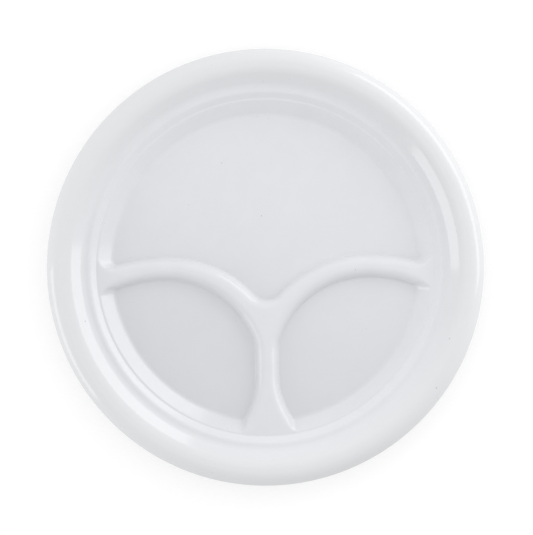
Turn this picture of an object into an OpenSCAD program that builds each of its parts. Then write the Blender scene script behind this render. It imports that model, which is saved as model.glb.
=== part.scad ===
/* [Wall] */
// Thickness of the moulded wall
wall_t = 3; // [2.4:0.1:3.2]

/* [Well] */
// Radius of the flat floor inside the well wall
floor_r = 89.2; // [84:0.1:96]
// Rise from the floor to the top of the well wall and of the dividers
well_rise = 5.7; // [5:0.1:6.6]
// Radius at the foot of the well wall
wall_foot_round = 6.6; // [4.2:0.3:8.1]
// Radius at the top of the well wall
wall_top_round = 3; // [1.5:0.3:3.9]
// Width of the flat round the top of the well wall
well_land_w = 1; // [1:0.1:3]

/* [Ledge] */
// Rise from the top of the well wall to the ledge
ledge_rise = 2.4; // [1.8:0.3:3]
// Radius at the foot of the riser up to the ledge
ledge_foot_round = 1.2; // [0.6:0.3:1.5]
// Radius of the edge of the ledge
ledge_round = 3; // [1.5:0.3:3]
// Width of the flat of the ledge
ledge_w = 1.1; // [1:0.1:4]

/* [Rim] */
// Rise from the ledge to the crest of the rim
rim_rise = 6.6; // [5.4:0.3:7.8]
// Radius where the rim leaves the ledge
rim_foot_round = 6; // [4:0.5:7]
// Radius over the crest of the rim
rim_crest_round = 9; // [7.5:0.5:9.5]
// Width of the flat on the crest
rim_crest_w = 1; // [0.4:0.1:3]
// How far the lip reaches beyond the crest's rounding
rim_lip_w = 4; // [3:0.1:4.6]

/* [Dividers] */
// Width of the flat along the top of each divider
land_w = 0.8; // [0.6:0.1:1.6]
// Radius along the foot of each divider
rib_foot_round = 2.4; // [1.6:0.2:3]
// Radius along the top edges of each divider
rib_top_round = 3.4; // [2.4:0.2:3.6]
// Radius of the arms on the side of the main compartment
arm_back_r = 66.8; // [64:0.2:72]
// How far the arms' top edges drop on that side before they meet at the hub
hub_drop = 38.5; // [35:0.5:40]
// Radius of the arms on that side between their highest part and the well wall
arm_tail_r = 112; // [100:2:150]
// Radius of the arms on the side of the small compartments
arm_front_r = 62.8; // [61:0.2:65]
// Radius of the arms on that side between their highest part and the well wall
arm_end_r = 85; // [78:1:100]
// How far inside the edge of the floor the front divider starts to widen
stem_flare_reach = 24.2; // [20:0.2:30]
// Floor radius with which it widens
stem_flare_r = 43; // [38:1:60]

/* [Corners] */
// Floor radius of the corner between the two arms
hub_corner_r = 14; // [8:0.5:16]
// Floor radius of the main compartment's two corners at the well wall
main_corner_r = 1.5; // [1:0.5:4]
// Floor radius of the small compartments' corners at the ends of the arms
arm_corner_r = 2; // [1:0.5:4]
// Floor radius of the small compartments' corners at the end of the front divider
front_corner_r = 1.5; // [1:0.5:4]

/* [Underside] */
// Height of the foot ring under the floor
foot_h = 2.6; // [2:0.2:4]
// How far the middle of the foot ring lies inside the edge of the floor
foot_inset = 6.2; // [5:0.2:12]
// Width of the foot ring
foot_w = 3.6; // [3:0.2:5]
// Radius along the two lower edges of the foot ring
foot_round = 1.2; // [0.6:0.2:1.4]
// Height of the hollow under each divider, above the underside of the floor
groove_rise = 4.8; // [4:0.2:5.2]
// Gap between the end of the hollows and the foot ring
groove_end_gap = 3; // [1:0.5:8]

/* [Hidden] */
$fn = 96;
cut = 1;
ease = 0.05;
deeper_share = 1.2;
neat_share = 100;

// Steep slopes fall 4 for every 3 across, and gentle slopes 3 for every 4
steep_share = 4 / 3;
gentle_share = 3 / 4;

floor_z = foot_h + wall_t;
well_top_z = floor_z + well_rise;
ledge_z = well_top_z + ledge_rise;
rim_z = ledge_z + rim_rise;

// A corner turned by a steep slope starts this share of its radius before the corner's point
steep_turn_share = 1 / 2;
gentle_turn_share = 1 / 3;

lip_round_share = 7 / 15;
lip_round = wall_t * lip_round_share;

wall_foot = [floor_r + wall_foot_round * gentle_turn_share, floor_z];
wall_top = [wall_foot.x + well_rise / gentle_share, well_top_z];
land_x = wall_top.x + wall_top_round * gentle_turn_share;
land_end_x = land_x + well_land_w;
riser_foot = [land_end_x + ledge_foot_round * gentle_turn_share, well_top_z];
ledge_edge = [riser_foot.x + ledge_rise / gentle_share, ledge_z];
ledge_end_x = ledge_edge.x + ledge_round * gentle_turn_share + ledge_w;
slope_foot = [ledge_end_x + rim_foot_round * gentle_turn_share, ledge_z];
slope_top = [slope_foot.x + rim_rise / gentle_share, rim_z];
crest_end_x = slope_top.x + rim_crest_round * gentle_turn_share + rim_crest_w;
brow = [crest_end_x + rim_crest_round * steep_turn_share, rim_z];
plate_r = brow.x + rim_lip_w;
whole = 2 * plate_r;

// Seams between the pieces lie on the flats, this far from where a curve begins
seam = 0.5;
floor_seam_r = floor_r - seam;
ledge_seam_r = land_end_x - seam;
rim_seam_r = ledge_end_x - seam / 2;

// The lip runs down the steep slope from the brow until its round end reaches the plate's edge
lip_dir = [3, -4] / 5;
lip_out = [4, 3] / 5;
lip_top_x = plate_r + lip_round * (lip_out.x + lip_dir.x - 1);
lip_top = [lip_top_x, brow.y - (lip_top_x - brow.x) * steep_share];
lip_bottom = lip_top - lip_out * wall_t;

// The rise of the well, the ledge and the rim, from the floor outwards: corners as [point, radius]
top_path = [
  [wall_foot, wall_foot_round], [wall_top, wall_top_round],
  [riser_foot, ledge_foot_round], [ledge_edge, ledge_round],
  [slope_foot, rim_foot_round], [slope_top, rim_crest_round], [brow, rim_crest_round]
];
path_start = [floor_r - wall_t, floor_z];
top_points = [path_start, each [for (c = top_path) c[0]], lip_top];

// How each of those corners turns: up is 1 and down is -1
top_turns = [1, -1, 1, -1, 1, -1, -1];

// Each divider's flank stands this wide in plan, from its foot to the flat along its top
rib_run = well_rise / steep_share + (rib_foot_round + rib_top_round) * steep_turn_share;
front_half_w = land_w / 2 + rib_run;

// The arms' curves in plan, each as [centre, radius at the top edge of the flank]
arm_peak_x = sqrt(arm_back_r ^ 2 - (arm_back_r - hub_drop) ^ 2);
arm_back = [[-arm_peak_x, land_w / 2 - arm_back_r], arm_back_r];
arm_tail = [[-arm_peak_x, land_w / 2 - arm_tail_r], arm_tail_r];
arm_front = [[-arm_peak_x, -land_w / 2 - arm_front_r], arm_front_r];
arm_end = [[-arm_peak_x, -land_w / 2 - arm_end_r], arm_end_r];
stem_flare = [[-front_half_w - stem_flare_r, stem_flare_reach - floor_r], stem_flare_r];
arm_back_foot_r = arm_back_r + rib_run;
arm_tail_foot_r = arm_tail_r + rib_run;
arm_front_foot_r = arm_front_r - rib_run;
arm_end_foot_r = arm_end_r - rib_run;

// Where the rounding circle of each corner has its centre
hub_corner = meet(arm_back[0], arm_back_foot_r + hub_corner_r, 0);
main_corner = touch(floor_r - main_corner_r, arm_tail[0], arm_tail_foot_r + main_corner_r, 1);
arm_corner = touch(floor_r - arm_corner_r, arm_end[0], arm_end_foot_r - arm_corner_r, 1);
front_corner = touch(floor_r - front_corner_r, stem_flare[0], stem_flare_r - front_corner_r, -1);

// The hollows under the arms follow one curve midway between the two sides
groove_r = (arm_back_r + arm_front_r) / 2;
groove_c = [(arm_back[0].x + arm_front[0].x) / 2, -groove_r];
foot_r = floor_r - foot_inset;
groove_end_r = foot_r - foot_w / 2 - groove_end_gap;
flank_across = wall_t * norm([steep_share, 1]) / steep_share;
top_corner_x = land_w / 2 + rib_top_round * steep_turn_share;
groove_foot_x = top_corner_x + (well_top_z - foot_h) / steep_share - flank_across;
groove_top_x = groove_foot_x - groove_rise / steep_share;

// The hub takes in the meeting of the arms with the front divider
hub_half_w = 25;
hub_reach = 54;
hub_front_y = -hub_reach;

function unit(v) = v / norm(v);
function right_of(v) = [v.y, -v.x];

// Where a path's corner goes when the whole path is moved to its right by t
function moved(before, p, after, t) =
  let (n = right_of(unit(p - before)), m = right_of(unit(after - p)))
  p + t * (n + m) / (1 + n * m);

// The upper point at a given x that lies at distance r from c
function meet(c, r, x) = [x, c.y + sqrt(r ^ 2 - (x - c.x) ^ 2)];

// The point that lies at distance r from the plate's axis and s from b: side 1 is to the left of the
// line from b to the axis, and side -1 to the right
function touch(r, b, s, side) =
  let (
    d = norm(b),
    u = b / d,
    along = (d ^ 2 + r ^ 2 - s ^ 2) / (2 * d),
    across = sqrt(r ^ 2 - along ^ 2)
  )
  u * along + side * right_of(u) * across;

// An outline through corners given as [point, radius], anticlockwise, each rounded by a true arc
module rounded(corners) {
  n = len(corners);
  p = [for (c = corners) c[0]];
  bends = [for (i = [0:n - 1]) if (corners[i][1] > 0)
    bend(p[(i + n - 1) % n], p[i], p[(i + 1) % n], corners[i][1])];
  index = [for (i = [0:n - 1]) len([for (k = [0:i]) if (corners[k][1] > 0) k]) - 1];
  difference() {
    union() {
      polygon([for (i = [0:n - 1]) each (corners[i][1] > 0 ? bends[index[i]][0] : [p[i]])]);
      for (b = bends) if (b[3]) slice(b);
    }
    for (b = bends) if (!b[3]) slice(b);
  }
}

// A point inside the material, on round numbers, so that lines sighted from it stay exact
function neat(p) = [round(p.x * neat_share), round(p.y * neat_share)] / neat_share;

// A rounded corner: its start, a point behind the arc and its end, then the arc's centre and radius,
// whether it bulges, the corner itself, and a deeper point from which the arc's ends are sighted
function bend(before, p, after, r) =
  let (
    v = unit(before - p),
    w = unit(after - p),
    open = norm(v - w) / norm(v + w),
    inward = unit(v + w),
    far = r * norm([1, 1 / open]),
    depth = min(r, wall_t / 2),
    behind = neat(p + inward * (far - r + depth)),
    deeper = neat(p + inward * (far - r + depth * deeper_share))
  )
  [[p + v * r / open, behind, p + w * r / open], p + inward * far, r, v.x * w.y - v.y * w.x < 0, p, deeper];

// The piece of a bend's circle that lies between the bend's start and end
module slice(b) {
  intersection() {
    translate(b[1]) circle(b[2]);
    polygon([b[5], 2 * b[0][0] - b[5], 2 * b[4] - b[5], 2 * b[0][2] - b[5]]);
  }
}

// The moulding's section from the flat floor to the lip, in the plane of radius and height
module section() {
  n = len(top_path);
  under = [for (i = [0:n - 1])
    [
      moved(top_points[i], top_points[i + 1], top_points[i + 2], wall_t),
      top_turns[i] > 0 ? top_path[i][1] + wall_t : max(top_path[i][1] - wall_t, lip_round)
    ]
  ];
  rounded([
    [path_start - [0, wall_t], 0],
    each under,
    [lip_bottom, lip_round],
    [lip_top, lip_round],
    each [for (i = [n - 1:-1:0]) top_path[i]],
    [path_start, 0]
  ]);
}

// The part of the section between two radii, turned about the plate's axis
module ring(inner, outer) {
  rotate_extrude()
    intersection() {
      section();
      translate([inner, 0]) square([outer - inner, rim_z + cut]);
    }
}

// The open space inside or outside a curved flank, in the plane of radius and height
module space_inside(r, foot_round, top_round, share, turn_share) {
  foot_x = r + foot_round * turn_share;
  rounded([
    [[0, floor_z], 0],
    [[foot_x, floor_z], foot_round],
    [[foot_x + well_rise / share, well_top_z], top_round],
    [[whole, well_top_z], 0],
    [[whole, rim_z], 0],
    [[0, rim_z], 0]
  ]);
}

module inside_wall(r) {
  space_inside(r, wall_foot_round, wall_top_round, gentle_share, gentle_turn_share);
}

module inside_flank(r) {
  space_inside(r, rib_foot_round, rib_top_round, steep_share, steep_turn_share);
}

module space_outside(r) {
  top_x = r + rib_top_round * steep_turn_share;
  rounded([
    [[top_x + well_rise / steep_share, floor_z], rib_foot_round],
    [[whole, floor_z], 0],
    [[whole, rim_z], 0],
    [[0, rim_z], 0],
    [[0, well_top_z], 0],
    [[top_x, well_top_z], rib_top_round]
  ]);
}

// A block that fills the corner between directions u and v from c, apart from the space that the
// child's section leaves round c
module corner_fill(c, r, u, v) {
  near = r + rib_run + land_x - floor_r;
  far = 2 * near;
  difference() {
    translate([0, 0, foot_h])
      linear_extrude(rim_z)
        polygon([c, c + u * near, c + unit(u + v) * far, c + v * near]);
    translate(c)
      rotate_extrude()
        children();
  }
}

module wall_space() {
  rotate_extrude() inside_wall(floor_r);
}

// The space behind the left arm: one curve on the hub's side of its highest part, one beyond
module behind_arm() {
  translate(arm_back[0]) rotate_extrude(angle = 90) space_outside(arm_back_r);
  translate(arm_tail[0]) rotate_extrude(angle = 90, start = 90) space_outside(arm_tail_r);
}

// The space in front of the left arm
module before_arm() {
  translate(arm_end[0])
    rotate_extrude(angle = 180, start = 90)
      inside_flank(arm_end_foot_r);
  translate(arm_front[0])
    rotate_extrude(angle = 180, start = -90)
      inside_flank(arm_front_foot_r);
}

// The space to the left of the front divider, which is straight and then widens
module beside_stem() {
  translate([stem_flare[0].x, whole, 0])
    rotate([90, 0, 0])
      linear_extrude(whole - stem_flare[0].y) {
        inside_flank(stem_flare_r);
        translate([-whole, floor_z]) square([whole, rim_z - floor_z]);
      }
  translate(stem_flare[0])
    rotate_extrude(angle = 180, start = 180)
      inside_flank(stem_flare_r);
}

module both_sides() {
  children();
  mirror([1, 0, 0]) children();
}

module main_space() {
  difference() {
    intersection() {
      wall_space();
      behind_arm();
      mirror([1, 0, 0]) behind_arm();
    }
    corner_fill(
      hub_corner, hub_corner_r, unit(arm_back[0] - hub_corner),
      unit([-arm_back[0].x, arm_back[0].y] - hub_corner)
    )
      inside_flank(hub_corner_r + ease);
    both_sides()
      corner_fill(main_corner, main_corner_r, unit(main_corner), unit(arm_tail[0] - main_corner))
        inside_wall(main_corner_r + ease);
  }
}

module left_space() {
  difference() {
    intersection() {
      wall_space();
      before_arm();
      beside_stem();
    }
    corner_fill(arm_corner, arm_corner_r, unit(arm_corner), unit(arm_corner - arm_end[0]))
      inside_wall(arm_corner_r + ease);
    corner_fill(
      front_corner, front_corner_r, unit(front_corner), unit(front_corner - stem_flare[0])
    )
      inside_wall(front_corner_r + ease);
  }
}

// The flat corner left over in plan between directions u and v from c
module corner_plan(c, r, u, v) {
  near = 2 * r;
  far = 2 * near;
  difference() {
    polygon([c, c + u * near, c + unit(u + v) * far, c + v * near]);
    translate(c) circle(r - seam + ease);
  }
}

// Half of the plane on the side where d points, or a quarter where d points between two sides
module half_plan(d) {
  translate((d - [1, 1]) * whole) square(2 * whole);
}

// The flat floors in plan, out to a radius; beyond the floor's own they serve as cutting shapes
module behind_arm_plan(reach) {
  difference() {
    circle(reach);
    translate(arm_back[0])
      intersection() {
        circle(arm_back_foot_r + seam);
        half_plan([1, 0]);
      }
    translate(arm_tail[0])
      intersection() {
        circle(arm_tail_foot_r + seam);
        half_plan([-1, 0]);
      }
  }
}

module main_plan(reach) {
  difference() {
    intersection() {
      translate([0, arm_back[0].y]) half_plan([0, 1]);
      behind_arm_plan(reach);
      mirror([1, 0]) behind_arm_plan(reach);
    }
    corner_plan(
      hub_corner, hub_corner_r, unit(arm_back[0] - hub_corner),
      unit([-arm_back[0].x, arm_back[0].y] - hub_corner)
    );
    both_sides()
      corner_plan(main_corner, main_corner_r, unit(main_corner), unit(arm_tail[0] - main_corner));
  }
}

module left_plan(reach) {
  difference() {
    intersection() {
      circle(reach);
      union() {
        translate(arm_end[0])
          intersection() {
            circle(arm_end_foot_r - seam);
            half_plan([-1, 0]);
          }
        translate(arm_front[0])
          intersection() {
            circle(arm_front_foot_r - seam);
            half_plan([1, 0]);
          }
      }
      translate(stem_flare[0]) {
        circle(stem_flare_r - seam);
        translate([stem_flare_r - seam, 0]) half_plan([-1, 1]);
      }
    }
    corner_plan(arm_corner, arm_corner_r, unit(arm_corner), unit(arm_corner - arm_end[0]));
    corner_plan(
      front_corner, front_corner_r, unit(front_corner), unit(front_corner - stem_flare[0])
    );
  }
}

// The hollow under a divider, in the plane of radius and height
module groove_section() {
  below = cut / steep_share;
  polygon([
    [-groove_foot_x - below, foot_h - cut],
    [groove_foot_x + below, foot_h - cut],
    [groove_top_x, foot_h + groove_rise],
    [-groove_top_x, foot_h + groove_rise]
  ]);
}

module left_groove() {
  intersection() {
    translate(groove_c)
      rotate_extrude(angle = 180)
        translate([groove_r, 0]) groove_section();
    translate([-whole, -whole, 0]) cube([whole, 2 * whole, rim_z]);
    cylinder(r = groove_end_r, h = rim_z);
  }
}

module front_groove() {
  meet_y = groove_c.y + sqrt(groove_r ^ 2 - groove_c.x ^ 2);
  translate([0, meet_y, 0])
    rotate([90, 0, 0])
      linear_extrude(groove_end_r + meet_y) groove_section();
}

// The dividers where they cross the part of the floor that the children cover in plan
module dividers_over() {
  difference() {
    translate([0, 0, foot_h])
      linear_extrude(wall_t + well_rise + cut)
        difference() {
          intersection() {
            circle(floor_seam_r);
            children();
          }
          main_plan(floor_r);
          both_sides() left_plan(floor_r);
        }
    main_space();
    both_sides() left_space();
    both_sides() left_groove();
    front_groove();
  }
}

module left_arm() {
  dividers_over()
    translate([-whole, hub_front_y]) square([whole - hub_half_w, whole]);
}

module left_divider() {
  color("whitesmoke") left_arm();
}

module right_divider() {
  color("whitesmoke") mirror([1, 0, 0]) left_arm();
}

module front_divider() {
  color("whitesmoke")
    dividers_over()
      translate([0, hub_front_y]) half_plan([0, -1]);
}

module divider_hub() {
  color("whitesmoke")
    dividers_over()
      translate([-hub_half_w, hub_front_y]) square([2 * hub_half_w, whole]);
}

module floor_over() {
  color("white")
    translate([0, 0, foot_h])
      linear_extrude(wall_t) children();
}

module main_pan() {
  floor_over() main_plan(floor_seam_r);
}

module left_pan() {
  floor_over() left_plan(floor_seam_r);
}

module right_pan() {
  floor_over() mirror([1, 0]) left_plan(floor_seam_r);
}

// The wall of the well, with the ends of the three dividers growing out of it
module well_wall() {
  mid = wall_t / 2;
  path = [for (i = [1:3]) moved(top_points[i - 1], top_points[i], top_points[i + 1], mid)];
  color("white")
    difference() {
      rotate_extrude()
        union() {
          intersection() {
            section();
            translate([floor_seam_r, 0]) square([ledge_seam_r - floor_seam_r, rim_z]);
          }
          polygon([
            [floor_seam_r, path[0].y],
            path[0],
            path[1],
            [ledge_seam_r, path[1].y],
            [ledge_seam_r, well_top_z + cut],
            [floor_seam_r, well_top_z + cut]
          ]);
        }
      main_space();
      both_sides() left_space();
    }
}

module rim_ledge() {
  color("white") ring(ledge_seam_r, rim_seam_r);
}

module rim() {
  color("white") ring(rim_seam_r, whole);
}

module foot_ring() {
  color("whitesmoke")
    rotate_extrude()
      translate([foot_r - foot_w / 2, 0])
        rounded([
          [[0, 0], foot_round],
          [[foot_w, 0], foot_round],
          [[foot_w, foot_h], 0],
          [[0, foot_h], 0]
        ]);
}

rim();
rim_ledge();
well_wall();
main_pan();
left_pan();
right_pan();
left_divider();
right_divider();
front_divider();
divider_hub();
foot_ring();
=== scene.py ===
"""Divided compartment plate: its moulded surface, its glaze and the studio it stands in."""

import math

import bpy
import numpy as np
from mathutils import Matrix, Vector


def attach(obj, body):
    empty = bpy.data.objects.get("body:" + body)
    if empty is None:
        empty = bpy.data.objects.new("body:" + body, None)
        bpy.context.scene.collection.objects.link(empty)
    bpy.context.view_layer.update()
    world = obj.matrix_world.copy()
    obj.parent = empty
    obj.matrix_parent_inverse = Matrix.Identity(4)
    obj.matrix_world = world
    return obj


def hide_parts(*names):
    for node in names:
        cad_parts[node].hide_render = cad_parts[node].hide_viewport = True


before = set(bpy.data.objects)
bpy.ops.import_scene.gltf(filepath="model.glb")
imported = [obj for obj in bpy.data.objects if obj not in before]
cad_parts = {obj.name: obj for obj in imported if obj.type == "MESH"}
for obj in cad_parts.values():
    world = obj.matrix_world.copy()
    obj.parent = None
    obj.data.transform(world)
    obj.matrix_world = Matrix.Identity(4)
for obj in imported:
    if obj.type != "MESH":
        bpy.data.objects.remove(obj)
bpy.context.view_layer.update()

# Shapes are worked out in millimetres and turned into metres when a mesh or a material is made
MM = 0.001

# The plate's driving sizes, as in the part's source
WALL_T = 3.0
FLOOR_R = 89.2
WELL_RISE = 5.7
WALL_FOOT_ROUND = 6.6
WALL_TOP_ROUND = 3.0
WELL_LAND_W = 1.0
LEDGE_RISE = 2.4
LEDGE_FOOT_ROUND = 1.2
LEDGE_ROUND = 3.0
LEDGE_W = 1.1
RIM_RISE = 6.6
RIM_FOOT_ROUND = 6.0
RIM_CREST_ROUND = 9.0
RIM_CREST_W = 1.0
RIM_LIP_W = 4.0
LIP_ROUND_SHARE = 7 / 15
SEAM = 0.5

LAND_W = 0.8
RIB_FOOT_ROUND = 2.4
RIB_TOP_ROUND = 3.4
ARM_BACK_R = 66.8
HUB_DROP = 38.5
ARM_TAIL_R = 112.0
ARM_FRONT_R = 62.8
ARM_END_R = 85.0
STEM_FLARE_REACH = 24.2
STEM_FLARE_R = 43.0
MAIN_CORNER_R = 1.5
ARM_CORNER_R = 2.0
FRONT_CORNER_R = 1.5
HUB_HALF_W = 25.0
HUB_REACH = 54.0

FOOT_H = 2.6
FOOT_INSET = 6.2
FOOT_W = 3.6
FOOT_ROUND = 1.2
GROOVE_RISE = 4.8
GROOVE_END_GAP = 3.0

# Where the scene departs a little from the solids: the corner between the arms is tighter, the well
# wall is gentler with a crisper foot and top, the riser starts further in, the dividers' flanks are
# rounder with a sharper foot, each arm turns softly into the front divider, and the foot ring and
# the hollows are rounded
HUB_CORNER_R = 10.0
CRISP_FOOT_ROUND = 4.0
CRISP_TOP_ROUND = 2.0
WALL_SLOPE = 0.66
RISER_SHIFT = 0.55
CRISP_RISER_ROUND = 1.0
RIB_SLOPE = 1.7
RIB_CRISP_FOOT_ROUND = 1.0
KINK_BLEND = 1.2
FOOT_FILLET = 0.8
GROOVE_ROUND = 0.8

# Steep slopes rise 4 for every 3 across, and gentle ones 3 for every 4. A corner turned by such a
# slope starts the turn's share of its radius before the corner's point
STEEP = 4 / 3
GENTLE = 3 / 4
STEEP_TURN = 1 / 2
GENTLE_TURN = 1 / 3
# How wide a wall on the steep slope is when measured level, as a share of its thickness
STEEP_LEVEL = 5 / 4
# The lip's direction down the steep slope, and the one out of it
LIP_DOWN = np.array([3, -4]) / 5
LIP_OUT = np.array([4, 3]) / 5

# Fineness of the meshes, and limits for what counts as nothing
GRID_STEP = 0.8
SEGMENTS = 480
ARC_STEP = math.radians(6)
RING_STEPS = 60
NORMAL_STEP = 0.01
PLAN_DIGITS = 6
SAME_POINT = 1e-6
LEAST_AREA = 1e-7
TINY = 1e-9
TURNS = np.arange(SEGMENTS) * 2 * math.pi / SEGMENTS

# Heights, and the section's corners from the floor outwards
FLOOR_Z = FOOT_H + WALL_T
WELL_TOP_Z = FLOOR_Z + WELL_RISE
LEDGE_Z = WELL_TOP_Z + LEDGE_RISE
RIM_Z = LEDGE_Z + RIM_RISE
WALL_RUN = WELL_RISE / GENTLE + (WALL_FOOT_ROUND + WALL_TOP_ROUND) * GENTLE_TURN
LAND_END_R = FLOOR_R + WALL_RUN + WELL_LAND_W
RISER_FOOT_R = LAND_END_R + LEDGE_FOOT_ROUND * GENTLE_TURN
LEDGE_EDGE = (RISER_FOOT_R + LEDGE_RISE / GENTLE, LEDGE_Z)
LEDGE_END_R = LEDGE_EDGE[0] + LEDGE_ROUND * GENTLE_TURN + LEDGE_W
SLOPE_FOOT = (LEDGE_END_R + RIM_FOOT_ROUND * GENTLE_TURN, LEDGE_Z)
SLOPE_TOP = (SLOPE_FOOT[0] + RIM_RISE / GENTLE, RIM_Z)
BROW = (SLOPE_TOP[0] + RIM_CREST_ROUND * (GENTLE_TURN + STEEP_TURN) + RIM_CREST_W, RIM_Z)
PLATE_R = BROW[0] + RIM_LIP_W
LIP_ROUND = WALL_T * LIP_ROUND_SHARE
FLOOR_SEAM_R = FLOOR_R - SEAM
LEDGE_SEAM_R = LAND_END_R - SEAM
RIM_SEAM_R = LEDGE_END_R - SEAM / 2

# The foot of the well wall, and the dividers' flanks: they keep the width that they have in the
# solids, so their top rounding is what the steeper slope and the sharper foot leave of it
WALL_EDGE_R = FLOOR_R + (WALL_FOOT_ROUND - CRISP_FOOT_ROUND) * GENTLE_TURN
RIB_RUN = WELL_RISE / STEEP + (RIB_FOOT_ROUND + RIB_TOP_ROUND) * STEEP_TURN
RIB_TURN = (math.hypot(1, RIB_SLOPE) - 1) / RIB_SLOPE
RIB_WIDE_TOP_ROUND = (RIB_RUN - WELL_RISE / RIB_SLOPE) / RIB_TURN - RIB_CRISP_FOOT_ROUND
FRONT_HALF_W = LAND_W / 2 + RIB_RUN


def unit(v):
    """The same direction with a length of 1."""
    v = np.asarray(v, float)
    return v / np.linalg.norm(v)


def meet(c, r, x):
    """The upper point at x that lies at distance r from c."""
    return np.array([x, c[1] + math.sqrt(r**2 - (x - c[0]) ** 2)])


def touch(r, b, s, side):
    """The point at distance r from the plate's axis and s from b, to the left of their line or not."""
    d = np.linalg.norm(b)
    u = unit(b)
    along = (d**2 + r**2 - s**2) / (2 * d)
    return u * along + side * np.array([u[1], -u[0]]) * math.sqrt(r**2 - along**2)


# Centres of the dividers' arcs in plan, of the corners between them, and of the hollows beneath
ARM_PEAK_X = math.sqrt(ARM_BACK_R**2 - (ARM_BACK_R - HUB_DROP) ** 2)
ARM_BACK_C = np.array([-ARM_PEAK_X, LAND_W / 2 - ARM_BACK_R])
ARM_TAIL_C = np.array([-ARM_PEAK_X, LAND_W / 2 - ARM_TAIL_R])
ARM_FRONT_C = np.array([-ARM_PEAK_X, -LAND_W / 2 - ARM_FRONT_R])
ARM_END_C = np.array([-ARM_PEAK_X, -LAND_W / 2 - ARM_END_R])
STEM_FLARE_C = np.array([-FRONT_HALF_W - STEM_FLARE_R, STEM_FLARE_REACH - FLOOR_R])
ARM_END_FOOT_R = ARM_END_R - RIB_RUN
HUB_CORNER = meet(ARM_BACK_C, ARM_BACK_R + RIB_RUN + HUB_CORNER_R, 0)
MAIN_CORNER = touch(WALL_EDGE_R - MAIN_CORNER_R, ARM_TAIL_C, ARM_TAIL_R + RIB_RUN + MAIN_CORNER_R, 1)
ARM_CORNER = touch(WALL_EDGE_R - ARM_CORNER_R, ARM_END_C, ARM_END_FOOT_R - ARM_CORNER_R, 1)
FRONT_CORNER = touch(WALL_EDGE_R - FRONT_CORNER_R, STEM_FLARE_C, STEM_FLARE_R - FRONT_CORNER_R, -1)

FOOT_R = FLOOR_R - FOOT_INSET
GROOVE_R = (ARM_BACK_R + ARM_FRONT_R) / 2
GROOVE_C = np.array([(ARM_BACK_C[0] + ARM_FRONT_C[0]) / 2, -GROOVE_R])
GROOVE_END_R = FOOT_R - FOOT_W / 2 - GROOVE_END_GAP
RIB_HALF_W = LAND_W / 2 + RIB_TOP_ROUND * STEEP_TURN + (WELL_TOP_Z - FOOT_H) / STEEP
GROOVE_HALF_W = RIB_HALF_W - WALL_T * STEEP_LEVEL


def climb(out, rise, foot_round, top_round, slope):
    """Height gained at a distance out from the foot of a wall with a slope, rounded foot and top."""
    length = np.sqrt(1 + np.square(slope))
    turn = (length - 1) / slope
    run = rise / slope + (foot_round + top_round) * turn
    out = np.clip(out, 0, run)
    low = foot_round - np.sqrt(np.maximum(foot_round**2 - out**2, 0))
    middle = (out - foot_round * turn) * slope
    high = rise - top_round + np.sqrt(np.maximum(top_round**2 - (run - out) ** 2, 0))
    z = np.where(out < foot_round * slope / length, low, middle)
    return np.where(run - out < top_round * slope / length, high, z)


def smooth(t):
    """From 0 to 1 with a soft start and end."""
    t = np.clip(t, 0, 1)
    return t * t * (3 - 2 * t)


def soft_min(a, b, blend):
    """The lesser of two, rounded over where they are about equal."""
    share = np.clip(0.5 + (b - a) / (2 * blend), 0, 1)
    return a * share + b * (1 - share) - blend * share * (1 - share)


def near_corner(x, y, corner, radius, u, v, inside, rib, rib_u, rib_v):
    """Rounds the meeting of two walls: a true arc between directions u and v from its centre."""
    px, py = x - corner[0], y - corner[1]
    det = u[0] * v[1] - u[1] * v[0]
    a = (px * v[1] - py * v[0]) / det
    b = (u[0] * py - u[1] * px) / det
    within = (a > 0) & (b > 0)
    turn = math.acos(np.clip(np.dot(u, v), -1, 1))
    dist = np.hypot(px, py)
    from_u = np.arccos(np.clip((px * u[0] + py * u[1]) / np.maximum(dist, TINY), -1, 1))
    share = smooth(from_u / turn)
    inside = np.where(within, radius - dist, inside)
    rib = np.where(within, rib_u + (rib_v - rib_u) * share, rib)
    return inside, rib


def main_floor(x, y):
    """Distance inside the main compartment's floor, and how far its wall there is a divider's."""
    x = -np.abs(x)
    wall = WALL_EDGE_R - np.hypot(x, y)
    back = np.hypot(x - ARM_BACK_C[0], y - ARM_BACK_C[1]) - ARM_BACK_R - RIB_RUN
    tail = np.hypot(x - ARM_TAIL_C[0], y - ARM_TAIL_C[1]) - ARM_TAIL_R - RIB_RUN
    arm = np.where(x > -ARM_PEAK_X, back, tail)
    inside = np.minimum(wall, arm)
    rib = np.where(arm < wall, 1.0, 0.0)
    inside, rib = near_corner(
        x, y, MAIN_CORNER, MAIN_CORNER_R, unit(MAIN_CORNER), unit(ARM_TAIL_C - MAIN_CORNER),
        inside, rib, 0.0, 1.0,
    )
    to_arm = unit(ARM_BACK_C - HUB_CORNER)
    return near_corner(
        x, y, HUB_CORNER, HUB_CORNER_R, to_arm, to_arm * [-1, 1], inside, rib, 1.0, 1.0
    )


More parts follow.
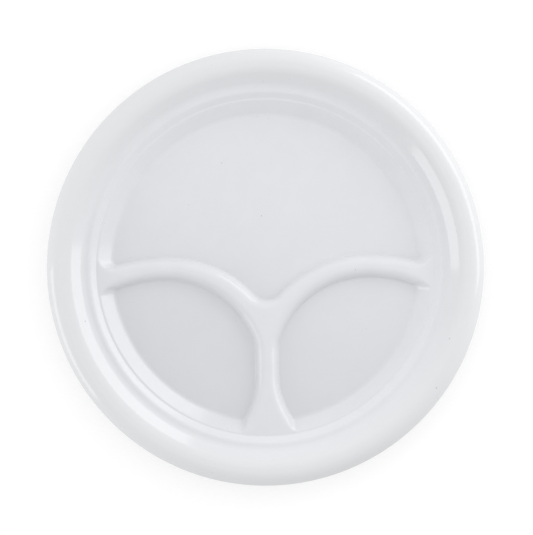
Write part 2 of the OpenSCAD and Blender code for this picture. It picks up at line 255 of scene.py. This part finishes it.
def left_floor(x, y):
    """The same for the left small compartment."""
    wall = WALL_EDGE_R - np.hypot(x, y)
    end = ARM_END_FOOT_R - np.hypot(x - ARM_END_C[0], y - ARM_END_C[1])
    front = ARM_FRONT_R - RIB_RUN - np.hypot(x - ARM_FRONT_C[0], y - ARM_FRONT_C[1])
    flare = STEM_FLARE_R - np.hypot(x - STEM_FLARE_C[0], y - STEM_FLARE_C[1])
    stem = np.where(y > STEM_FLARE_C[1], -FRONT_HALF_W - x, flare)
    arm = soft_min(np.where(x < -ARM_PEAK_X, end, front), stem, KINK_BLEND)
    inside = np.minimum(wall, arm)
    rib = np.where(arm < wall, 1.0, 0.0)
    inside, rib = near_corner(
        x, y, ARM_CORNER, ARM_CORNER_R, unit(ARM_CORNER), unit(ARM_CORNER - ARM_END_C),
        inside, rib, 0.0, 1.0,
    )
    return near_corner(
        x, y, FRONT_CORNER, FRONT_CORNER_R, unit(FRONT_CORNER), unit(FRONT_CORNER - STEM_FLARE_C),
        inside, rib, 0.0, 1.0,
    )


def right_floor(x, y):
    """The same for the right small compartment, the left one's mirror image."""
    return left_floor(-x, y)


def top_height(x, y):
    """Height of the upper surface inside the ledge."""
    z = WELL_RISE
    for floor in (main_floor, left_floor, right_floor):
        inside, rib = floor(x, y)
        foot_round = CRISP_FOOT_ROUND + (RIB_CRISP_FOOT_ROUND - CRISP_FOOT_ROUND) * rib
        top_round = CRISP_TOP_ROUND + (RIB_WIDE_TOP_ROUND - CRISP_TOP_ROUND) * rib
        slope = WALL_SLOPE + (RIB_SLOPE - WALL_SLOPE) * rib
        z = np.minimum(z, climb(-inside, WELL_RISE, foot_round, top_round, slope))
    return FLOOR_Z + z


def under_height(x, y):
    """Height of the underside inside the ledge: the wall, and the hollows under the dividers."""
    r = np.hypot(x, y)
    wall = climb(r - FLOOR_R, WELL_RISE, WALL_FOOT_ROUND + WALL_T, LIP_ROUND, GENTLE)
    arm = np.abs(np.hypot(-np.abs(x) - GROOVE_C[0], y - GROOVE_C[1]) - GROOVE_R)
    arm = np.where(y > GROOVE_C[1], arm, PLATE_R)
    meet_y = meet(GROOVE_C, GROOVE_R, 0)[1]
    stem = np.where(y < meet_y, np.abs(x), np.hypot(x, y - meet_y))
    into = np.minimum(GROOVE_HALF_W - np.minimum(arm, stem), GROOVE_END_R - r)
    hollow = climb(into, GROOVE_RISE, GROOVE_ROUND, GROOVE_ROUND, STEEP)
    return FOOT_H + np.maximum(wall, hollow)


def normals_of(height, x, y, side):
    """Normals of a height field, pointing up for side 1 and down for side -1."""
    step = NORMAL_STEP
    gx = (height(x + step, y) - height(x - step, y)) / (2 * step)
    gy = (height(x, y + step) - height(x, y - step)) / (2 * step)
    n = np.stack([-gx, -gy, np.ones_like(gx)], -1)
    return side * n / np.linalg.norm(n, axis=-1, keepdims=True)


def make_object(name, verts, faces, loop_normals):
    """A mesh piece in metres with its own smooth normals."""
    mesh = bpy.data.meshes.new(name)
    mesh.from_pydata((np.asarray(verts) * MM).tolist(), [], faces)
    mesh.polygons.foreach_set("use_smooth", [True] * len(faces))
    mesh.update()
    mesh.normals_split_custom_set(np.asarray(loop_normals).tolist())
    piece = bpy.data.objects.new(name, mesh)
    bpy.context.scene.collection.objects.link(piece)
    return piece


def clip(poly, field):
    """Splits a polygon where a field changes sign: the part where it is 0 or more, and the rest."""
    values = field(*np.array(poly).T)
    above, below = [], []
    n = len(poly)
    for i in range(n):
        p, q = poly[i], poly[(i + 1) % n]
        a, b = values[i], values[(i + 1) % n]
        (above if a >= 0 else below).append(p)
        if (a >= 0) != (b >= 0):
            # The crossing is worked out from the lower end, so that both neighbours get the same point
            if (p[0], p[1]) > (q[0], q[1]):
                p, q, a, b = q, p, b, a
            t = a / (a - b)
            cross = (p[0] + (q[0] - p[0]) * t, p[1] + (q[1] - p[1]) * t)
            above.append(cross)
            below.append(cross)
    return above, below


def area_of(poly):
    """A polygon's area, positive when it runs counterclockwise."""
    return 0.5 * sum(
        poly[i - 1][0] * poly[i][1] - poly[i][0] * poly[i - 1][1] for i in range(len(poly))
    )


def well_edge(x, y):
    """Distance inside the seam round the middle of the well."""
    return FLOOR_SEAM_R - np.hypot(x, y)


# The fields that part the well's middle into nodes, in the order in which they are applied
CUT_OUTS = [
    ("main_pan", lambda x, y: main_floor(x, y)[0] - SEAM),
    ("left_pan", lambda x, y: left_floor(x, y)[0] - SEAM),
    ("right_pan", lambda x, y: right_floor(x, y)[0] - SEAM),
    ("front_divider", lambda x, y: -HUB_REACH - y),
    ("left_divider", lambda x, y: -HUB_HALF_W - x),
    ("right_divider", lambda x, y: x - HUB_HALF_W),
    ("divider_hub", lambda x, y: np.ones_like(x)),
]


def plan_pieces():
    """The plan of the well's middle as polygons for each node, on a square grid cut along the seams."""
    count = int(FLOOR_R / GRID_STEP) + 2
    ticks = np.arange(-count, count + 1) * GRID_STEP
    gx, gy = np.meshgrid(ticks, ticks, indexing="ij")
    corners = [(0, 0), (1, 0), (1, 1), (0, 1)]
    last = len(ticks) - 1

    def at_corners(field):
        """A field's values at the four corners of every cell."""
        grid = field(gx, gy)
        return np.stack([grid[i : last + i, j : last + j] for i, j in corners])

    def cell(i, j):
        return [(ticks[i + di], ticks[j + dj]) for di, dj in corners]

    plans = {name: [] for name, _ in CUT_OUTS}
    edge = at_corners(well_edge)
    unplaced = (edge > 0).any(0)
    for name, field in CUT_OUTS:
        whole = unplaced & (at_corners(field) >= 0).all(0) & (edge >= 0).all(0)
        plans[name] += [cell(i, j) for i, j in np.argwhere(whole)]
        unplaced &= ~whole
    for i, j in np.argwhere(unplaced):
        poly, _ = clip(cell(i, j), well_edge)
        for name, field in CUT_OUTS:
            if len(poly) < 3:
                break
            mine, poly = clip(poly, field)
            if len(mine) > 2 and abs(area_of(mine)) > LEAST_AREA:
                plans[name].append(mine)
    return plans


def closed_piece(name, x, y, faces):
    """A piece between the upper and lower surfaces, from points and counterclockwise faces in plan."""
    n = len(x)
    top = np.column_stack([x, y, top_height(x, y)])
    low = np.column_stack([x, y, under_height(x, y)])
    up, down = normals_of(top_height, x, y, 1), normals_of(under_height, x, y, -1)
    below = [[n + i for i in reversed(face)] for face in faces]
    loops = [up[i] for face in faces for i in face]
    loops += [down[i - n] for face in below for i in face]
    sides = []
    edges = dict.fromkeys((a, b) for face in faces for a, b in zip(face, face[1:] + face[:1]))
    for a, b in edges:
        if (b, a) not in edges:
            along = top[b] - top[a]
            sides.append([a, n + a, n + b, b])
            loops += [unit([along[1], -along[0], 0])] * 4
    return make_object(name, np.vstack([top, low]), faces + below + sides, loops)


def solid_from_plan(name, plan):
    """A closed piece over polygons in plan, whose common corners become one point each."""
    index, faces = {}, []
    for poly in plan:
        face = []
        for p in poly:
            i = index.setdefault((round(p[0], PLAN_DIGITS), round(p[1], PLAN_DIGITS)), len(index))
            if not face or face[-1] != i:
                face.append(i)
        if face[0] == face[-1]:
            face.pop()
        if len(face) > 2:
            faces.append(face)
    x, y = np.array(list(index)).T
    return closed_piece(name, x, y, faces)


def solid_of_wall():
    """The wall of the well as a ring, flared where the dividers meet it."""
    radii = np.linspace(FLOOR_SEAM_R, LEDGE_SEAM_R, RING_STEPS + 1)
    t, r = np.meshgrid(TURNS, radii, indexing="ij")
    faces = []
    for i in range(SEGMENTS):
        a, b = i * len(radii), (i + 1) % SEGMENTS * len(radii)
        faces += [[a + j, a + j + 1, b + j + 1, b + j] for j in range(RING_STEPS)]
    return closed_piece("well_wall_shell", (r * np.cos(t)).ravel(), (r * np.sin(t)).ravel(), faces)


def rounded_path(corners):
    """Points and normals along a path in the plane of radius and height, its corners turned by arcs.

    The path runs so that its material is on its left. Each entry is (radius, height, normal's radius,
    normal's height); a corner with no round gives two entries with one normal each."""
    path = []
    for i, (point, radius) in enumerate(corners):
        p = np.array(point)
        v = unit(corners[i - 1][0] - p)
        w = unit(corners[(i + 1) % len(corners)][0] - p)
        before, after = np.array([-v[1], v[0]]), np.array([w[1], -w[0]])
        if radius == 0:
            path += [(*p, *before), (*p, *after)]
            continue
        turn = math.acos(np.clip(np.dot(before, after), -1, 1))
        bend = 1 if before[0] * after[1] > before[1] * after[0] else -1
        start = p + v * radius * math.tan(turn / 2)
        centre = start - before * radius * bend
        steps = max(2, math.ceil(turn / ARC_STEP))
        for angle in np.linspace(0, turn * bend, steps + 1):
            c, s = math.cos(angle), math.sin(angle)
            normal = np.array([before[0] * c - before[1] * s, before[0] * s + before[1] * c])
            path.append((*(centre + normal * radius * bend), *normal))
    return path


def turned(name, corners):
    """A closed ring-shaped piece: the path's section turned about the plate's axis."""
    path = rounded_path(corners)
    cos, sin = np.cos(TURNS), np.sin(TURNS)
    m = len(path)
    verts = [(p[0] * c, p[0] * s, p[1]) for c, s in zip(cos, sin) for p in path]
    faces, loops = [], []
    for i in range(SEGMENTS):
        k = (i + 1) % SEGMENTS
        for j in range(m):
            h = (j + 1) % m
            if math.dist(path[j][:2], path[h][:2]) < SAME_POINT:
                continue
            faces.append([i * m + j, k * m + j, k * m + h, i * m + h])
            for t, q in ((i, j), (k, j), (k, h), (i, h)):
                loops.append((path[q][2] * cos[t], path[q][2] * sin[t], path[q][3]))
    return make_object(name, verts, faces, loops)


def moved(before, p, after, t):
    """Where a path's corner goes when the whole path moves to its right by t."""
    a, b = unit(np.subtract(p, before)), unit(np.subtract(after, p))
    n, m = np.array([a[1], -a[0]]), np.array([b[1], -b[0]])
    return np.array(p) + t * (n + m) / (1 + n @ m)


def moulding_path():
    """The top path's corners from the flat of the well wall to the lip, and the same path below."""
    lip_x = PLATE_R + LIP_ROUND * (LIP_OUT[0] + LIP_DOWN[0] - 1)
    lip = np.array([lip_x, RIM_Z - (lip_x - BROW[0]) * STEEP])
    riser_foot = (RISER_FOOT_R - RISER_SHIFT, WELL_TOP_Z)
    points = [riser_foot, LEDGE_EDGE, SLOPE_FOOT, SLOPE_TOP, BROW, lip]
    rounds = [CRISP_RISER_ROUND, LEDGE_ROUND, RIM_FOOT_ROUND, RIM_CREST_ROUND, RIM_CREST_ROUND]
    turns_up = [True, False, True, False, False]
    before = [(FLOOR_R, WELL_TOP_Z)] + points[:-2]
    under = [
        (moved(b, p, a, WALL_T), r + WALL_T if up else max(r - WALL_T, LIP_ROUND))
        for b, p, a, r, up in zip(before, points, points[1:], rounds, turns_up)
    ]
    return list(zip(points[:-1], rounds)), under, lip


def rim_and_ledge():
    """The rim and the ledge as two turned pieces that meet on the ledge's flat."""
    top, under, lip = moulding_path()
    inner_top = ((LEDGE_SEAM_R, WELL_TOP_Z), 0)
    inner_low = ((LEDGE_SEAM_R, WELL_TOP_Z - WALL_T), 0)
    seam_top = ((RIM_SEAM_R, LEDGE_Z), 0)
    seam_low = ((RIM_SEAM_R, LEDGE_Z - WALL_T), 0)
    ledge = turned(
        "rim_ledge_shell",
        [inner_low, *under[:2], seam_low, seam_top, *reversed(top[:2]), inner_top],
    )
    lip_end = [(lip - LIP_OUT * WALL_T, LIP_ROUND), (lip, LIP_ROUND)]
    rim = turned("rim_shell", [seam_low, *under[2:], *lip_end, *reversed(top[2:]), seam_top])
    return rim, ledge


def foot_ring():
    """The ring that the plate stands on, with a small fillet where it leaves the underside."""
    inner, outer = FOOT_R - FOOT_W / 2, FOOT_R + FOOT_W / 2
    flare = 2 * FOOT_FILLET
    return turned(
        "foot_ring_shell",
        [((inner, 0), FOOT_ROUND), ((outer, 0), FOOT_ROUND),
         ((outer, FOOT_H), FOOT_FILLET), ((outer + flare, FOOT_H), 0),
         ((inner - flare, FOOT_H), 0), ((inner, FOOT_H), FOOT_FILLET)],
    )


# The glaze: a cool white between a pale and a deeper hue, greyer on the rim past these radii
WHITE = 0.80
FOOT_SHADE = 0.985
PALE_HUE = (1.000, 1.010, 1.044)
DEEP_HUE = (0.972, 0.984, 1.018)
CLOUD_SHARE = 0.6
RIM_HUE = (0.97, 0.98, 0.985)
RIM_HUE_SHARE = 0.5
RIM_HUE_FADE = (100, 124)

# Dark specks: cells of a random net in a metre, their size, the share of cells with one, and strength
SPECKS = ((75, 0.36, 0.3, 0.6), (170, 0.24, 0.2, 0.4))
SPECK_COLOR = (0.24, 0.23, 0.22, 1)

# Painted shade: the well is a little darker towards the lower left of the camera's view, most of all on
# the floors, less on what rises from them, and not at all on the underside
PAINTED_SHADE_TOWARDS = (-0.33, -0.94)
PAINTED_SHADE_START = -0.7 * FLOOR_R
PAINTED_SHADE_DEPTH = 0.05
FLOOR_PAINTED_SHADE_DEPTH = 0.07
FLOOR_PAINTED_SHADE_H = 1.5
UNDERSIDE_GAP = (1.0, 0.5)
BLACK = (0, 0, 0, 1)

# Painted shade in the creases: a darker line along the foot of whatever rises from a floor. Its bands
# say where it starts, is full, starts to fade and ends, from the floor's level or, across the wall, from
# the wall's foot
CREASE_SHADE_RISE = (-0.1, 0.4, 0.4, 2.4)
WALL_CREASE_SHADE_REACH = (-1.2, -0.2, 0.2, 1.2)
WALL_CREASE_SHADE_RISE = (-1.0, -0.2, 0.2, 0.6)
CREASE_SHADE_DEPTH = 0.09
WALL_CREASE_SHADE_DEPTH = 0.055
CREASE_SHADE_LEAST = 0.3
CREASE_SHADE_COLOR = (0.30, 0.37, 0.40, 1)

# The skin: fine scratches by angle and number in a metre, how much of them shows on the floors and
# elsewhere, the gloss, and the heights of its waves as shares of the highest
SCRATCHES = ((0.5, 900), (-0.9, 1100), (1.8, 1000))
SCRATCH_STRETCH = 0.02
FLOOR_WEAR = 1.0
OTHER_WEAR = 0.35
GLAZE_ROUGH = 0.085
UNEVEN_ROUGH = 0.07
WORN_ROUGH = 0.12
WAVE_H = 0.09
PEEL_SHARE = 0.12
SCRATCH_SHARE = -0.04
MELAMINE_IOR = 1.56


class Nodes:
    """Short calls for building a node tree."""

    def __init__(self, tree):
        self.tree = tree
        tree.nodes.clear()

    def add(self, kind, inputs=None, **settings):
        """A new node; an input is another node's socket or a value."""
        node = self.tree.nodes.new(kind)
        for name, value in settings.items():
            setattr(node, name, value)
        for name, value in (inputs or {}).items():
            if isinstance(value, bpy.types.NodeSocket):
                self.tree.links.new(value, node.inputs[name])
            else:
                node.inputs[name].default_value = value
        return node

    def math(self, operation, first, *others):
        """One operation over all the values in turn, such as the product of them all."""
        for other in others:
            first = self.add("ShaderNodeMath", {0: first, 1: other}, operation=operation).outputs[0]
        return first

    def mix(self, share, a, b):
        """The color a, or b by a share."""
        node = self.add("ShaderNodeMix", {0: share, 6: a, 7: b}, data_type="RGBA")
        return node.outputs[2]

    def split(self, vector):
        """The three parts of a vector."""
        return self.add("ShaderNodeSeparateXYZ", {0: vector}).outputs[:]

    def ramp(self, value, none, full):
        """0 where the value is none, and 1 where it is full, with a soft start and end."""
        node = self.add(
            "ShaderNodeMapRange",
            {"Value": value, "From Min": none, "From Max": full},
            interpolation_type="SMOOTHSTEP",
        )
        return node.outputs["Result"]

    def fade(self, place, none, full):
        """A ramp between two places in millimetres."""
        return self.ramp(place, none * MM, full * MM)

    def band(self, place, middle, reach):
        """1 in a band about a place in millimetres, with soft edges."""
        start, full, fading, end = (middle + edge for edge in reach)
        return self.math("MULTIPLY", self.fade(place, start, full), self.fade(place, end, fading))


def noise(n, where, scale, detail, rough=0.5):
    """Noise centred on one half; scale is in features a metre."""
    inputs = {"Vector": where, "Scale": scale, "Detail": detail, "Roughness": rough}
    return n.add("ShaderNodeTexNoise", inputs).outputs["Fac"]


def specks(n, where, scale, size, share):
    """A mask of dark specks of a size in millimetres, in a share of the cells of a random net."""
    cells = n.add(
        "ShaderNodeTexVoronoi", {"Vector": where, "Scale": scale}, voronoi_dimensions="3D"
    )
    chosen = n.add("ShaderNodeTexWhiteNoise", {"Vector": cells.outputs["Position"]})
    near = n.math("LESS_THAN", cells.outputs["Distance"], size * MM * scale)
    some = n.math("LESS_THAN", chosen.outputs["Value"], share)
    return n.math("MULTIPLY", near, some)


def scratches(n, where, angle, scale):
    """A mask of fine straight marks at an angle in plan."""
    along = scale * SCRATCH_STRETCH
    turned_to = n.add(
        "ShaderNodeMapping",
        {"Vector": where, "Rotation": (0, 0, angle), "Scale": (scale, along, along)},
    )
    lines = noise(n, turned_to.outputs["Vector"], scale=1, detail=1)
    return n.ramp(lines, none=0.72, full=0.78)


def radius_of(n, where):
    """Distance from the plate's axis."""
    x, y, _ = n.split(where)
    squares = n.math("ADD", n.math("MULTIPLY", x, x), n.math("MULTIPLY", y, y))
    return n.math("POWER", squares, 0.5)


def painted_shade(n, where):
    """How much painted shade darkens the well: more towards one side, and most of all on the floors."""
    x, y, z = n.split(where)
    parts = [n.math("MULTIPLY", v, towards) for v, towards in zip((x, y), PAINTED_SHADE_TOWARDS)]
    spread = n.fade(n.math("ADD", *parts), PAINTED_SHADE_START, FLOOR_R)
    on_floor = n.fade(z, FLOOR_Z + FLOOR_PAINTED_SHADE_H, FLOOR_Z)
    above = n.fade(z, *(FLOOR_Z - gap for gap in UNDERSIDE_GAP))
    depth = n.math("ADD", n.math("MULTIPLY", on_floor, FLOOR_PAINTED_SHADE_DEPTH), PAINTED_SHADE_DEPTH)
    return n.math("MULTIPLY", spread, depth, above)


def crease_shade(n, where, at_wall):
    """Painted shade: a thin, uneven darker line along the foot of whatever rises from the floors."""
    z = n.split(where)[2]
    line = n.band(z, FLOOR_Z, CREASE_SHADE_RISE)
    depth = CREASE_SHADE_DEPTH
    if at_wall:
        near = n.band(radius_of(n, where), WALL_EDGE_R, WALL_CREASE_SHADE_REACH)
        line = n.math("MULTIPLY", line, near, n.band(z, FLOOR_Z, WALL_CREASE_SHADE_RISE))
        depth = WALL_CREASE_SHADE_DEPTH
    uneven = n.ramp(noise(n, where, scale=14, detail=1), none=0.38, full=0.62)
    strength = n.math("ADD", n.math("MULTIPLY", uneven, depth), CREASE_SHADE_LEAST * depth)
    return n.math("MULTIPLY", line, strength)


def tinted(tone, hue):
    """A hue at a brightness, as a color socket's value."""
    return (*(tone * part for part in hue), 1)


def glaze_color(n, where, tone, in_well, at_wall):
    """Faintly mottled white with a few specks, greyer on the rim, and with painted shade in the well and
    its creases.
    """
    cloudy = n.math("MULTIPLY", noise(n, where, scale=8, detail=3, rough=0.55), CLOUD_SHARE)
    mottled = n.math("MULTIPLY", noise(n, where, scale=90, detail=4, rough=0.6), 1 - CLOUD_SHARE)
    shade = n.ramp(n.math("ADD", cloudy, mottled), none=0.36, full=0.64)
    color = n.mix(shade, tinted(tone, DEEP_HUE), tinted(tone, PALE_HUE))
    if not in_well:
        greyer = n.mix(RIM_HUE_SHARE, color, tinted(tone, RIM_HUE))
        color = n.mix(n.fade(radius_of(n, where), *RIM_HUE_FADE), color, greyer)
    for scale, size, share, strength in SPECKS:
        dots = specks(n, where, scale, size, share)
        color = n.mix(n.math("MULTIPLY", dots, strength), color, SPECK_COLOR)
    if in_well:
        # Painted shade: the well darker towards the lower left of the view, most of all on the floors
        color = n.mix(painted_shade(n, where), color, BLACK)
        # Painted shade along the feet of the wall and the dividers, in a blue-grey
        color = n.mix(crease_shade(n, where, at_wall), color, CREASE_SHADE_COLOR)
    return color


def melamine(name, tone, wear, in_well, at_wall):
    """Glossy moulded melamine with an orange-peel skin and fine scratches in patches."""
    material = bpy.data.materials.new(name)
    material.use_nodes = True
    n = Nodes(material.node_tree)
    where = n.add("ShaderNodeTexCoord").outputs["Object"]
    marks = n.math("MAXIMUM", *(scratches(n, where, angle, scale) for angle, scale in SCRATCHES))
    patches = n.ramp(noise(n, where, scale=30, detail=2), none=0.5, full=0.62)
    worn = n.math("MULTIPLY", marks, patches, wear)

    uneven = n.math("MULTIPLY", noise(n, where, scale=45, detail=3), UNEVEN_ROUGH)
    rough = n.math("ADD", uneven, GLAZE_ROUGH, n.math("MULTIPLY", worn, WORN_ROUGH))

    waves = noise(n, where, scale=32, detail=1)
    peel = n.math("MULTIPLY", noise(n, where, scale=380, detail=2), PEEL_SHARE)
    height = n.math("ADD", waves, peel, n.math("MULTIPLY", worn, SCRATCH_SHARE))
    bump = n.add("ShaderNodeBump", {"Height": height, "Strength": 1.0, "Distance": WAVE_H * MM})

    color = glaze_color(n, where, tone, in_well, at_wall)
    shader = n.add(
        "ShaderNodeBsdfPrincipled",
        {
            "Base Color": color,
            "Roughness": rough,
            "Normal": bump.outputs["Normal"],
            "IOR": MELAMINE_IOR,
        },
    )
    n.add("ShaderNodeOutputMaterial", {"Surface": shader.outputs["BSDF"]})
    return material


def dress(piece, node):
    """Gives a piece its melamine and puts it in the place of its solid."""
    is_floor = node.endswith("_pan")
    at_wall = node == "well_wall"
    in_well = is_floor or at_wall or "divider" in node
    tone = WHITE * FOOT_SHADE if node == "foot_ring" else WHITE
    wear = FLOOR_WEAR if is_floor else OTHER_WEAR
    piece.data.materials.append(melamine(node + "_melamine", tone, wear, in_well, at_wall))
    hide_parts(node)
    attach(piece, "root")


# The studio, in metres: a floor with one grey for the light that it gives back and another for the
# eye, which a glow lifts to white, and a pale room that is lighter towards the photograph's top
STUDIO_HALF_W = 4.0
BOUNCE_GREY = (0.8, 0.8, 0.8, 1)
SEEN_GREY = (0.36, 0.36, 0.36, 1)
FLOOR_GLOW = 0.70
PAPER_WHITE = (1, 1, 1, 1)
ROOM_LEVEL = 0.85
ROOM_LEAN = 0.24
LAMP_DISTANCE = 0.9


def background_rays(n):
    """1 for the rays that should see the white background."""
    rays = n.add("ShaderNodeLightPath").outputs
    kinds = ("Is Camera Ray", "Is Glossy Ray", "Is Transmission Ray")
    return n.math("MAXIMUM", *(rays[kind] for kind in kinds))


def make_floor():
    """A pale floor that looks white, gives soft bounce light and keeps the plate's shadow."""
    mesh = bpy.data.meshes.new("studio_floor")
    corners = [(-1, -1), (1, -1), (1, 1), (-1, 1)]
    mesh.from_pydata([(x * STUDIO_HALF_W, y * STUDIO_HALF_W, 0) for x, y in corners], [], [range(4)])
    floor = bpy.data.objects.new("studio_floor", mesh)
    bpy.context.scene.collection.objects.link(floor)
    material = bpy.data.materials.new("studio_floor_paint")
    material.use_nodes = True
    n = Nodes(material.node_tree)
    seen = background_rays(n)
    paint = n.add("ShaderNodeBsdfDiffuse", {"Color": n.mix(seen, BOUNCE_GREY, SEEN_GREY)})
    strength = n.math("MULTIPLY", seen, FLOOR_GLOW)
    glow = n.add("ShaderNodeEmission", {"Color": PAPER_WHITE, "Strength": strength})
    both = n.add("ShaderNodeAddShader", {0: paint.outputs[0], 1: glow.outputs[0]})
    n.add("ShaderNodeOutputMaterial", {"Surface": both.outputs[0]})
    mesh.materials.append(material)


def make_world():
    """A pale room whose background is seen as white."""
    world = bpy.data.worlds.new("studio_room")
    bpy.context.scene.world = world
    world.use_nodes = True
    n = Nodes(world.node_tree)
    seen = background_rays(n)
    towards_top = n.split(n.add("ShaderNodeTexCoord").outputs["Generated"])[1]
    light = n.math("ADD", n.math("MULTIPLY", towards_top, ROOM_LEVEL * ROOM_LEAN), ROOM_LEVEL)
    strength = n.math("ADD", n.math("MULTIPLY", seen, n.math("SUBTRACT", 1.0, light)), light)
    room = n.add("ShaderNodeBackground", {"Color": PAPER_WHITE, "Strength": strength})
    n.add("ShaderNodeOutputWorld", {"Surface": room.outputs[0]})


def softbox(name, bearing, elevation, width, height, radiance):
    """A rectangular soft light. Its bearing is clockwise from the photograph's top."""
    light = bpy.data.lights.new(name, "AREA")
    light.shape = "RECTANGLE"
    light.size, light.size_y = width, height
    light.energy = radiance * math.pi * width * height
    lamp = bpy.data.objects.new(name, light)
    bpy.context.scene.collection.objects.link(lamp)
    b, e = math.radians(bearing), math.radians(elevation)
    towards = Vector((math.sin(b) * math.cos(e), math.cos(b) * math.cos(e), math.sin(e)))
    lamp.location = towards * LAMP_DISTANCE
    lamp.rotation_euler = towards.to_track_quat("Z", "Y").to_euler()
    lamp.visible_camera = False


# The photograph is 533 by 535 pixels, the plate in it 437.6 pixels wide. The camera looks straight down
PHOTO_W = 533
PHOTO_H = 535
PLATE_PX = 437.6
PLATE_CENTRE_PX = (265.4, 267.2)
CAMERA_HEIGHT = 4.0
CAMERA_ROLL = math.radians(-0.95)
SENSOR_H = 24.0
FARTHEST_SEEN = 50


def make_camera():
    """A camera far above the plate, at the scale and place of the photograph."""
    data = bpy.data.cameras.new("camera")
    camera = bpy.data.objects.new("camera", data)
    bpy.context.scene.collection.objects.link(camera)
    pixel = 2 * PLATE_R * MM / PLATE_PX
    away = CAMERA_HEIGHT - RIM_Z * MM
    data.sensor_fit = "VERTICAL"
    data.sensor_height = SENSOR_H
    data.lens = SENSOR_H * away / (PHOTO_H * pixel)
    data.clip_end = FARTHEST_SEEN
    off_x = (PHOTO_W / 2 - PLATE_CENTRE_PX[0]) * pixel
    off_y = (PLATE_CENTRE_PX[1] - PHOTO_H / 2) * pixel
    camera.location = (off_x, off_y, CAMERA_HEIGHT)
    camera.rotation_euler = (0, 0, CAMERA_ROLL)
    bpy.context.scene.camera = camera


plans = plan_pieces()
pieces = {node: solid_from_plan(node + "_shell", plan) for node, plan in plans.items()}
pieces["well_wall"] = solid_of_wall()
pieces["rim"], pieces["rim_ledge"] = rim_and_ledge()
pieces["foot_ring"] = foot_ring()
for node, piece in pieces.items():
    dress(piece, node)

make_floor()
make_world()
softbox("key_softbox", bearing=61, elevation=21, width=1.2, height=0.38, radiance=1.72)
softbox("fill_softbox", bearing=252, elevation=14, width=0.6, height=0.36, radiance=1.8)
make_camera()
bpy.context.scene.view_settings.view_transform = "Standard"
